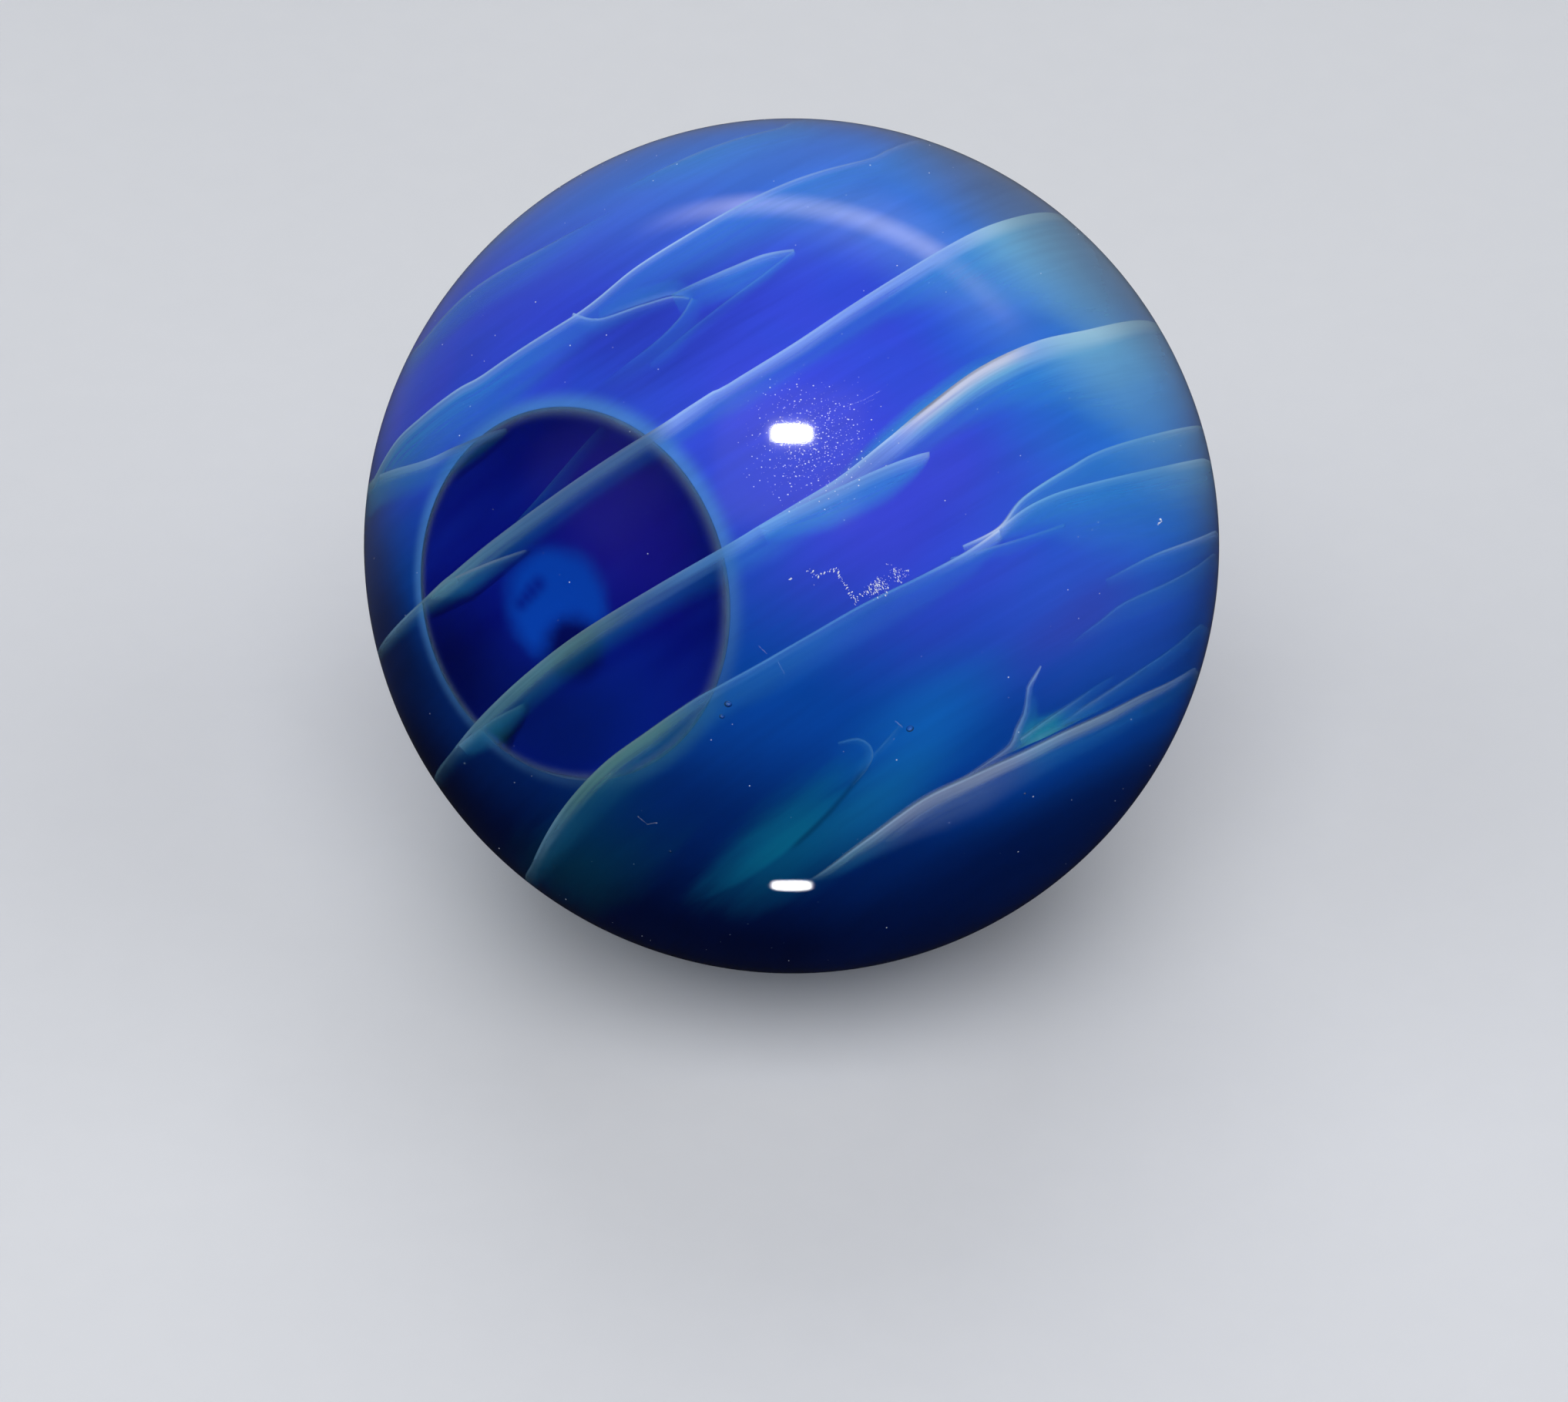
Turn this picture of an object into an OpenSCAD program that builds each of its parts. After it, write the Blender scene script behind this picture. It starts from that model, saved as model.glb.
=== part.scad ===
// Handmade glass marble. A blue body holds one round window of dark glass and is
// wound with pale veils, and clear glass cases it all as one fused, polished ball.
// The origin is the ball's centre, +Z is up and -Y is the front.

/* [Ball] */
// Diameter of the finished ball
ball_diameter = 22; // [16:0.5:60]
// Clear glass left over the highest veil
veil_cover = 0.25; // [0.1:0.05:2]

/* [Window] */
// Width of the dark window, straight across its rim
window_width = 9; // [3:0.1:10]
// Depth of the dark glass below the plane of its rim
window_depth = 2; // [0.5:0.1:4]
// Turn of the window from the front towards the left, in degrees
window_turn = 38; // [0:1:359]
// Height of the window over the ball's middle, in degrees
window_lift = 22; // [-80:1:80]

/* [Veils] */
// Height of a veil's sharp edge over the blue body, halfway round its ring
veil_rise = 0.25; // [0.1:0.05:0.6]
// Offset of each ring from the winding axis, which makes it thick on one side
veil_shift = 0.4; // [0.1:0.05:0.8]
// Lean of the winding axis from upright, in degrees
winding_lean = 52; // [0:1:90]
// Turn of the winding axis, in degrees
winding_turn = 133; // [0:1:359]

/* [Hidden] */
$fn = 120;

ball_radius = ball_diameter / 2;
veil_top = ball_radius - veil_cover;
body_radius = veil_top - veil_rise - veil_shift;

// Each veil is [latitude of its sharp edge, spread of its fading side, turn of its
// thick side] about the winding axis. The first two are shares of a quarter turn and
// the last is a share of a full turn. The first six veils cross the front.
veil_shares = [
    [0.66, 0.16, 0.44],
    [0.45, 0.20, 0.39],
    [0.22, 0.22, 0.36],
    [0.00, 0.20, 0.43],
    [-0.19, 0.22, 0.38],
    [-0.53, 0.24, 0.47],
    [0.56, 0.18, 0.92],
    [0.33, 0.20, 0.86],
    [0.09, 0.22, 0.93],
    [-0.13, 0.18, 0.83],
    [-0.36, 0.22, 0.90],
];
quarter_turn = 90;
full_turn = 360;

// The window's dark glass is a lens. Its face follows the body and its back is part
// of a ball through the same rim.
window_rim_radius = window_width / 2;
window_rim_distance = sqrt(pow(body_radius, 2) - pow(window_rim_radius, 2));
window_back_radius = (pow(window_rim_radius, 2) + pow(window_depth, 2)) / (2 * window_depth);
window_back_distance = window_rim_distance - window_depth + window_back_radius;

// Point of a ring's section at a distance from the centre and a latitude
function section_point(distance, latitude) = [distance * cos(latitude), distance * sin(latitude)];

module body_ball() {
    sphere(r = body_radius);
}

module window_back_ball() {
    rotate([-window_lift, 0, -window_turn])
        translate([0, -window_back_distance, 0])
            sphere(r = window_back_radius);
}

// Wedge-shaped ring with its steep side up. Its axis is off the winding axis, so it
// stands proud of the body on one side and sinks out of sight on the other.
module veil_ring(latitude, spread, turn) {
    edge = body_radius + veil_rise;
    root = body_radius - veil_rise - veil_shift;
    rotate([0, 0, turn])
        translate([veil_shift, 0, 0])
            rotate_extrude()
                polygon([
                    section_point(edge, latitude),
                    section_point(root, latitude),
                    section_point(root, latitude - spread),
                ]);
}

module veil_rings() {
    rotate([0, winding_lean, winding_turn])
        for (veil = veil_shares)
            veil_ring(veil[0] * quarter_turn, veil[1] * quarter_turn, veil[2] * full_turn);
}

module clear_casing() {
    color("#dce8f5", 0.3)
        difference() {
            sphere(r = ball_radius);
            body_ball();
            veil_rings();
        }
}

module pale_veils() {
    color("#a9c6ea")
        difference() {
            veil_rings();
            body_ball();
        }
}

module blue_body() {
    color("#3347c4")
        difference() {
            body_ball();
            window_back_ball();
        }
}

module dark_window() {
    color("#0a0f5c")
        intersection() {
            body_ball();
            window_back_ball();
        }
}

clear_casing();
pale_veils();
blue_body();
dark_window();
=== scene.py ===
# Glass marble: a blue glass body with one round dark window and wound pale veils, cased in clear glass.
# Everything is in metres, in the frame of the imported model: origin at the ball's centre, +Z up, -Y front.
import math

import bmesh
import bpy
from mathutils import Matrix, Vector, noise


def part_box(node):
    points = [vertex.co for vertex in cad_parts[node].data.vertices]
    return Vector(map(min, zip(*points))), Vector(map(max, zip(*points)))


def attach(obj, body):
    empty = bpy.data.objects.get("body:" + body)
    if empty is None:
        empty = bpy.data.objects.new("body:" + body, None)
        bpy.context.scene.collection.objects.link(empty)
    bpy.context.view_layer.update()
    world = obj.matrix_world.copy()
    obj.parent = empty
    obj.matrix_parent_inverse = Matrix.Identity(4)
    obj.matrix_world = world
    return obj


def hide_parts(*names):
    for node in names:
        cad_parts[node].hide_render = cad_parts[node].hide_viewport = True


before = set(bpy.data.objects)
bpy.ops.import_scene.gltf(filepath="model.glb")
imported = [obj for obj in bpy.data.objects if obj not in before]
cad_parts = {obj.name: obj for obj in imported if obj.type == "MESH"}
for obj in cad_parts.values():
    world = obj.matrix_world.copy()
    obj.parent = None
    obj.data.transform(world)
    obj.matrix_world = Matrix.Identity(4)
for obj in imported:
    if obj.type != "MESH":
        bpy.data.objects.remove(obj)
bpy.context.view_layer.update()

MM = 0.001

# Sizes from the frame
casing_low, casing_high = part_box("clear_casing")
body_low, body_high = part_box("blue_body")
BALL_RADIUS = (casing_high.z - casing_low.z) / 2
BODY_RADIUS = (body_high.z - body_low.z) / 2

# Glass
GLASS_INDEX = 1.47

# Window of dark glass
WINDOW_WIDTH = 9 * MM
WINDOW_DEPTH = 2 * MM
WINDOW_TURN = math.radians(38)
WINDOW_LIFT = math.radians(22)
WINDOW_BED_GAP = 0.006 * MM

# Winding axis of the veils
WINDING_LEAN = math.radians(52)
WINDING_TURN = math.radians(133)

# Veils
EDGE_LIFT = 0.22 * MM
ROOT_DEPTH = 0.25 * MM
TAIL_HOVER = 0.012 * MM
PATH_STEP = 0.14 * MM
VEIL_STEPS = 22

# Meshes of the ball, the body and the window
BALL_DIVISIONS = 7
OUT_OF_ROUND = 0.01 * MM
OUT_OF_ROUND_SCALE = 1.4
OUT_OF_ROUND_MIDDLE = 0.3
TURN_STEPS = 240
BOWL_STEPS = 26
BODY_STEPS = 130
FACE_STEPS = 30
FACE_SHARE = 0.9999

# The photograph's frame, in pixels, and its view of the ball
PHOTO_WIDTH = 2035
PHOTO_HEIGHT = 1820
BALL_PIXEL = (1027.5, 708.6)
BALL_PIXEL_RADIUS = 555.3
VIEW_LIFT = math.radians(36)
VIEW_DISTANCE = 0.2
SENSOR_WIDTH = 36
CLIP_START = 1 * MM

PIXEL = BALL_RADIUS / BALL_PIXEL_RADIUS

to_camera = Vector((0, -math.cos(VIEW_LIFT), math.sin(VIEW_LIFT)))
view_right = Vector((1, 0, 0))
view_up = to_camera.cross(view_right)
camera_place = to_camera * VIEW_DISTANCE
focal_pixels = BALL_PIXEL_RADIUS / math.tan(math.asin(BALL_RADIUS / VIEW_DISTANCE))

window_axis = Vector((
    -math.sin(WINDOW_TURN) * math.cos(WINDOW_LIFT),
    -math.cos(WINDOW_TURN) * math.cos(WINDOW_LIFT),
    math.sin(WINDOW_LIFT),
))
window_rim_radius = WINDOW_WIDTH / 2
window_rim_angle = math.asin(window_rim_radius / BODY_RADIUS)
window_rim_distance = BODY_RADIUS * math.cos(window_rim_angle)
window_back_radius = (window_rim_radius ** 2 + WINDOW_DEPTH ** 2) / (2 * WINDOW_DEPTH)
window_back_distance = window_rim_distance - WINDOW_DEPTH + window_back_radius

winding_frame = Matrix.Rotation(WINDING_TURN, 3, "Z") @ Matrix.Rotation(WINDING_LEAN, 3, "Y")
winding_axis = winding_frame @ Vector((0, 0, 1))

# Side of the ball where the glass is palest
PALE_SIDE = Vector((0.8, 0.2, 0.57))

# Dark slit in the window's crescent, in pixels
WINDOW_SLIT = [(677, 783), (683, 775), (690, 767), (698, 759)]


def ball_hit(start, direction, radius, centre=Vector((0, 0, 0)), side=-1):
    """Point where a ray enters a ball, or leaves it if side is 1, or its nearest point if it misses."""
    offset = start - centre
    along = -offset.dot(direction)
    room = radius ** 2 - (offset.length_squared - along ** 2)
    return start + direction * (along + side * math.sqrt(max(room, 0.0)))


def bent(direction, normal):
    """Direction of a ray after it enters the clear glass."""
    ratio = 1 / GLASS_INDEX
    facing = -direction.dot(normal)
    return direction * ratio + normal * (ratio * facing - math.sqrt(1 - ratio ** 2 * (1 - facing ** 2)))


def sight_line(pixel):
    """Point on the ball and direction inside the glass of the sight line through a pixel."""
    across = (pixel[0] - BALL_PIXEL[0]) / focal_pixels
    upward = (BALL_PIXEL[1] - pixel[1]) / focal_pixels
    direction = (view_right * across + view_up * upward - to_camera).normalized()
    entry = ball_hit(camera_place, direction, BALL_RADIUS)
    return entry, bent(direction, entry.normalized())


def surface_point(pixel):
    """Point of the ball's surface that a pixel shows."""
    return sight_line(pixel)[0]


def inner_point(pixel, radius=BODY_RADIUS):
    """Point at a radius inside the glass that a pixel shows."""
    entry, direction = sight_line(pixel)
    return ball_hit(entry, direction, radius)


def window_back_point(pixel):
    """Point on the back of the window's dark glass that a pixel shows."""
    entry, direction = sight_line(pixel)
    return ball_hit(entry, direction, window_back_radius, window_axis * window_back_distance, 1)


def wound(latitude, longitude):
    """Unit direction at a latitude and longitude about the winding axis, in degrees."""
    level = math.radians(latitude)
    turn = math.radians(longitude)
    flat = math.cos(level)
    return winding_frame @ Vector((flat * math.cos(turn), flat * math.sin(turn), math.sin(level)))


def tint(code):
    """Linear colour of a screen colour such as #3347c4."""
    channels = [int(code[i:i + 2], 16) / 255 for i in (1, 3, 5)]
    linear = [c / 12.92 if c <= 0.04045 else ((c + 0.055) / 1.055) ** 2.4 for c in channels]
    return (*linear, 1.0)


class Value:
    """A node's number output. Python's operators on it add Math nodes."""

    def __init__(self, graph, socket):
        self.graph = graph
        self.socket = socket

    def math(self, operation, first, second=0.0):
        node = self.graph.node("ShaderNodeMath", {"operation": operation}, {0: first, 1: second})
        return Value(self.graph, node.outputs[0])

    def __add__(self, other):
        return self.math("ADD", self, other)

    def __radd__(self, other):
        return self.math("ADD", other, self)

    def __sub__(self, other):
        return self.math("SUBTRACT", self, other)

    def __rsub__(self, other):
        return self.math("SUBTRACT", other, self)

    def __mul__(self, other):
        return self.math("MULTIPLY", self, other)

    def __rmul__(self, other):
        return self.math("MULTIPLY", other, self)

    def __truediv__(self, other):
        return self.math("DIVIDE", self, other)

    def __pow__(self, other):
        return self.math("POWER", self, other)

    def __abs__(self):
        return self.math("ABSOLUTE", self)

    def larger(self, other):
        return self.math("MAXIMUM", self, other)

    def smaller(self, other):
        return self.math("MINIMUM", self, other)


class Graph:
    """A node tree and one method that makes its nodes."""

    def __init__(self, tree):
        self.tree = tree

    def node(self, kind, settings=None, inputs=None):
        """New node: its settings are set first, then its sockets get values or links."""
        made = self.tree.nodes.new(kind)
        for name, setting in (settings or {}).items():
            setattr(made, name, setting)
        for key, given in (inputs or {}).items():
            socket = made.inputs[key]
            if isinstance(given, Value):
                self.tree.links.new(given.socket, socket)
            elif isinstance(given, bpy.types.NodeSocket):
                self.tree.links.new(given, socket)
            else:
                socket.default_value = given
        return made

    def value(self, kind, settings=None, inputs=None, output=0):
        return Value(self, self.node(kind, settings, inputs).outputs[output])

    def place(self):
        return self.node("ShaderNodeTexCoord").outputs["Object"]

    def scaled(self, vector, factor):
        inputs = {0: vector, 3: factor}
        return self.node("ShaderNodeVectorMath", {"operation": "SCALE"}, inputs).outputs[0]

    def measure(self, operation, first, second):
        """Number that a Vector Math node works out from two vectors."""
        inputs = {0: first, 1: second}
        return self.value("ShaderNodeVectorMath", {"operation": operation}, inputs, 1)

    def dot(self, vector, direction):
        return self.measure("DOT_PRODUCT", vector, direction)

    def distance(self, vector, point):
        return self.measure("DISTANCE", vector, point)

    def joined(self, x, y, z):
        return self.node("ShaderNodeCombineXYZ", None, {0: x, 1: y, 2: z}).outputs[0]

    def smooth(self, value, low, high):
        """0 at low and below, 1 at high and above, with a soft start and end."""
        settings = {"interpolation_type": "SMOOTHSTEP", "clamp": True}
        return self.value("ShaderNodeMapRange", settings, {0: value, 1: low, 2: high})

    def noise(self, vector, scale, detail=2.0, roughness=0.5, distortion=0.0):
        inputs = {"Vector": vector, "Scale": scale, "Detail": detail}
        inputs.update({"Roughness": roughness, "Distortion": distortion})
        return self.value("ShaderNodeTexNoise", None, inputs)

    def attribute(self, name):
        return self.value("ShaderNodeAttribute", {"attribute_name": name}, None, "Fac")

    def mix(self, factor, first, second):
        inputs = {0: factor, 6: first, 7: second}
        return self.node("ShaderNodeMix", {"data_type": "RGBA"}, inputs).outputs[2]

    def washed(self, colour, washes):
        """Colour with washes laid over it in turn, each a mask and a screen colour."""
        for mask, code in washes:
            colour = self.mix(mask, colour, tint(code))
        return colour

    def bump(self, height, distance, strength=1.0):
        inputs = {"Height": height, "Distance": distance, "Strength": strength}
        return self.node("ShaderNodeBump", None, inputs).outputs[0]

    def principled(self, inputs):
        return self.node("ShaderNodeBsdfPrincipled", None, inputs).outputs[0]

    def surface(self, shader):
        self.node("ShaderNodeOutputMaterial", None, {"Surface": shader})


def new_material(name):
    """Empty node material and its graph."""
    material = bpy.data.materials.new(name)
    material.use_nodes = True
    material.node_tree.nodes.clear()
    return material, Graph(material.node_tree)


def winding_grain(graph, unit, across, along):
    """Noise coordinates that are stretched along the winding."""
    east = winding_frame @ Vector((1, 0, 0))
    north = winding_frame @ Vector((0, 1, 0))
    level = graph.dot(unit, winding_axis) * across
    return graph.joined(level, graph.dot(unit, east) * along, graph.dot(unit, north) * along)


def lit_through(graph, shader, colour):
    """The shader, but clear to shadow and diffuse rays, so that lamps light what is inside."""
    light = graph.node("ShaderNodeLightPath")
    shadow = Value(graph, light.outputs["Is Shadow Ray"])
    diffuse = Value(graph, light.outputs["Is Diffuse Ray"])
    clear = graph.node("ShaderNodeBsdfTransparent", None, {"Color": colour})
    inputs = {0: shadow.larger(diffuse), 1: shader, 2: clear.outputs[0]}
    return graph.node("ShaderNodeMixShader", None, inputs).outputs[0]


def clear_glass():
    """Polished casing glass with faint smears and a hand-worked waviness."""
    material, graph = new_material("clear_glass")
    unit = graph.scaled(graph.place(), 1 / BALL_RADIUS)
    smear = graph.noise(unit, 3.0, 5.0, 0.6, 0.8)
    wave = graph.noise(unit, 2.2, 1.0)
    glass = graph.principled({
        "Base Color": tint("#fbfdff"),
        "Roughness": 0.07 + 0.04 * graph.smooth(smear, 0.5, 0.8),
        "IOR": GLASS_INDEX,
        "Transmission Weight": 1.0,
        "Normal": graph.bump(wave, 0.02 * MM, 0.3),
    })
    graph.surface(lit_through(graph, glass, tint("#f6f9fd")))
    return material


def near(graph, unit, pixel, inner, outer):
    """Soft round patch about a pixel's point on the body, from full to none over two radii in pixels."""
    away = graph.distance(unit, inner_point(pixel) / BODY_RADIUS)
    return 1 - graph.smooth(away, inner / BALL_PIXEL_RADIUS, outer / BALL_PIXEL_RADIUS)


def towards(graph, unit, direction, low, high):
    """Soft cap about a direction, from none to full over two cosines of the angle to it."""
    return graph.smooth(graph.dot(unit, Vector(direction).normalized()), low, high)


def within_rim(graph, unit, start, stop):
    """0 to 1 on the way into the window, between two angles outwards from its rim."""
    facing = graph.dot(unit, window_axis)
    return graph.smooth(facing, math.cos(window_rim_angle + start), math.cos(window_rim_angle + stop))


def circle_through(pixels):
    """Unit normal and offset of the plane through three pixels' points on the body, in body radii."""
    first, middle, last = [inner_point(pixel) / BODY_RADIUS for pixel in pixels]
    normal = (middle - first).cross(last - middle).normalized()
    return normal, normal.dot(first)


def blue_glass():
    """Wound blue glass: ultramarine and violet fields, azure on the right, navy and teal below, with
    painted shade low down.
    """
    material, graph = new_material("blue_glass")
    unit = graph.scaled(graph.place(), 1 / BODY_RADIUS)
    fibre = graph.noise(winding_grain(graph, unit, 13.0, 1.3), 1.0, 4.0, 0.6)
    strand = graph.noise(winding_grain(graph, unit, 44.0, 2.2), 1.0, 2.0, 0.5)
    cloud = graph.noise(unit, 1.7, 3.0, 0.55, 0.6)

    def patch(pixel, inner, outer):
        return near(graph, unit, pixel, inner, outer)

    def side(direction, low, high):
        return towards(graph, unit, direction, low, high)

    def streak(first, last, width):
        """Soft drawn-out patch between two pixels, with its half width in pixels."""
        start = inner_point(first) / BODY_RADIUS
        stop = inner_point(last) / BODY_RADIUS
        middle = (start + stop) / 2
        along = (stop - start) / 2
        across = middle.cross(along).normalized() * (width / BALL_PIXEL_RADIUS)
        down = graph.dot(unit, along / along.length_squared)
        over = graph.dot(unit, across / across.length_squared)
        away = (down * down + over * over) ** 0.5 + 0.9 * (fibre - 0.5)
        return (1 - graph.smooth(away, 0.0, 1.1)) * side(middle, 0.2, 0.5)

    # Blue, violet and azure fields of the upper half
    colour = graph.mix(graph.smooth(cloud, 0.35, 0.65), tint("#2a4ecf"), tint("#384ad4"))
    colour = graph.washed(colour, [
        (patch((1060, 610), 60, 330) * 0.5, "#4348d8"),
        (patch((930, 330), 40, 300) * 0.4, "#3d42ce"),
        (streak((680, 510), (1020, 360), 150) * 0.8, "#2a3ab0"),
        (side(PALE_SIDE, 0.62, 0.95) * 0.7, "#3488e0"),
        (side(PALE_SIDE, 0.85, 1.0) * 0.4, "#5c98c8"),
        (side((0.95, -0.3, 0.1), 0.6, 0.95) * 0.35, "#2a7cde"),
        (side((-0.1, 0.5, 0.86), 0.65, 1.0) * 0.65, "#4a88dc"),
        (side((0.62, 0.35, 0.7), 0.86, 0.99) * 0.75, "#54688a"),
        (side((0.1, 0.78, 0.62), 0.82, 1.0) * 0.5, "#46608e"),
    ])

    # Navy that deepens towards the bottom and the left: mostly painted shade for light falling from above,
    # partly the glass's own deeper blue, with lighter streaks in it
    sideways = graph.dot(unit, (1, 0, 0))
    lean = (0.35 * sideways + 0.1 * abs(sideways)) * side((0, -1, 0), -0.2, 0.5)
    lifted = 0.36 * side((-0.8, 0, 0.6), 0.45, 1.0) + 0.4 * side((0, 1, 0), 0.0, 0.8)
    sunk = 0.2 * (fibre - 0.5) - graph.dot(unit, (0, 0, 1)) - lean - lifted
    colour = graph.washed(colour, [
        (graph.smooth(sunk, -0.75, -0.25), "#0846a2"),
        (graph.smooth(sunk, -0.25, 0.15), "#03296e"),
        (graph.smooth(sunk, 0.1, 0.6), "#010f38"),
        (side(-winding_axis, 0.82, 0.93) * 0.8, "#02184c"),
        # Painted shade along the left edge of the ball, darker lower down
        (patch((480, 770), 50, 210) * 0.65, "#08205c"),
        (patch((515, 850), 40, 170) * 0.6, "#04143c"),
        (patch((570, 1010), 40, 150) * 0.5, "#020c2c"),
        (streak((1080, 1030), (1320, 830), 100) * 0.75, "#146cc4"),
        (streak((670, 1160), (900, 990), 100) * 0.3, "#0d5c70"),
        (side((-0.6, 0.75, -0.25), 0.6, 0.98) * 0.6, "#1660c0"),
        (side((0.35, 0.85, -0.4), 0.7, 0.98) * 0.5, "#2c46c4"),
        (side((-0.55, 0.2, -0.8), 0.75, 0.98) * 0.45, "#0d5c70"),
    ])

    # Teal field that ends at a dark crease, and the pale arc near the top
    fold_normal, fold_offset = circle_through([(1006, 1118), (1085, 1045), (1134, 982)])
    fold = graph.dot(unit, fold_normal) - fold_offset
    inner_side = 0.5 + 0.5 * graph.smooth(fold, -0.006, 0.012)
    crease = (1 - graph.smooth(abs(fold), 0.0, 0.012)) * patch((1075, 1052), 60, 95)
    arc_normal, arc_offset = circle_through([(814, 305), (1090, 276), (1328, 435)])
    arc_line = abs(graph.dot(unit, arc_normal) - arc_offset)
    arc = (1 - graph.smooth(arc_line, 0.0, 0.05)) * patch((1090, 285), 110, 290)
    shine = (1 - graph.smooth(arc_line, 0.0, 0.15)) * patch((1200, 320), 90, 230)
    colour = graph.washed(colour, [
        (streak((905, 1185), (1145, 975), 92) * inner_side * 0.95, "#0c749a"),
        (streak((1040, 1130), (1230, 940), 80) * 0.5, "#167cb8"),
        (streak((1310, 860), (1490, 730), 60) * 0.35, "#4440b4"),
        (crease * 0.45, "#04284e"),
        (arc * 0.75, "#a4aef4"),
        (shine * 0.3, "#7ca4e6"),
    ])

    # Glow round the window, brighter above it
    halo = within_rim(graph, unit, 0.06, 0.003)
    above = side((-0.4, 0.4, 0.82), -0.35, 0.45)
    glow = graph.mix(above, tint("#3a6486"), tint("#4f8ccc"))
    colour = graph.mix(halo ** (2.8 - 1.3 * above) * (0.25 + 0.47 * above), colour, glow)

    graph.surface(graph.principled({
        "Base Color": graph.scaled(colour, 0.68 + 0.42 * fibre + 0.22 * strand),
        "Roughness": 0.45 + 0.25 * fibre,
        "Specular IOR Level": 0.0,
        "Normal": graph.bump(fibre, 0.06 * MM, 0.3),
    }))
    return material


def window_face():
    """Dark glass at the face of the window: clear in the middle and grey at its rim."""
    material, graph = new_material("window_face")
    unit = graph.scaled(graph.place(), 1 / BODY_RADIUS)
    waver = graph.noise(unit, 7.0, 3.0)
    edge = 1 - within_rim(graph, unit, 0, -0.045)
    outer = 1 - within_rim(graph, unit, 0, -0.012)
    colour = graph.mix(edge, tint("#141a80"), tint("#566a84"))
    graph.surface(graph.principled({
        "Base Color": graph.mix(outer, colour, tint("#5078a2")),
        "Roughness": 0.4 + 0.2 * waver,
        "Specular IOR Level": 0.0,
        "Alpha": (edge ** 1.4 * (0.35 + 0.65 * waver) + 0.02).smaller(1.0),
    }))
    return material


def window_depth():
    """Navy back of the window with one lighter crescent in it."""
    material, graph = new_material("window_depth")
    place = graph.place()
    unit = graph.scaled(place, 1 / BODY_RADIUS)
    grain = graph.noise(winding_grain(graph, unit, 9.0, 1.5), 1.0, 3.0)
    ragged = graph.noise(unit, 12.0, 4.0, 0.6)

    def spot(pixel, inner, outer, waver=20):
        """Ragged round patch about a pixel's point on the window's back, with its sizes in pixels."""
        away = graph.distance(place, window_back_point(pixel)) / PIXEL + waver * (ragged - 0.5)
        return 1 - graph.smooth(away, inner, outer)

    hole = spot((744, 842), 20, 50)
    slit, *others = [spot(pixel, 0, 17, 10) for pixel in WINDOW_SLIT]
    for other in others:
        slit = slit.larger(other)
    crescent = spot((722, 783), 44, 74) * (1 - hole) * (1 - slit * 0.75)
    colour = graph.mix(graph.smooth(grain, 0.3, 0.7), tint("#030f7c"), tint("#081e8c"))
    colour = graph.washed(colour, [
        (spot((820, 660), 30, 170) * 0.7, "#211994"),
        (spot((790, 950), 20, 160) * 0.6, "#022482"),
        (spot((590, 880), 20, 160) * 0.9, "#00063c"),
        (spot((715, 955), 20, 150) * 0.75, "#011558"),
        (hole * 0.8, "#000544"),
        (crescent * 0.85, "#0548b8"),
    ])
    graph.surface(graph.principled({
        "Base Color": colour,
        "Roughness": 0.5 + 0.2 * grain,
        "Specular IOR Level": 0.0,
        "Normal": graph.bump(grain, 0.05 * MM, 0.3),
    }))
    return material


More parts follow.
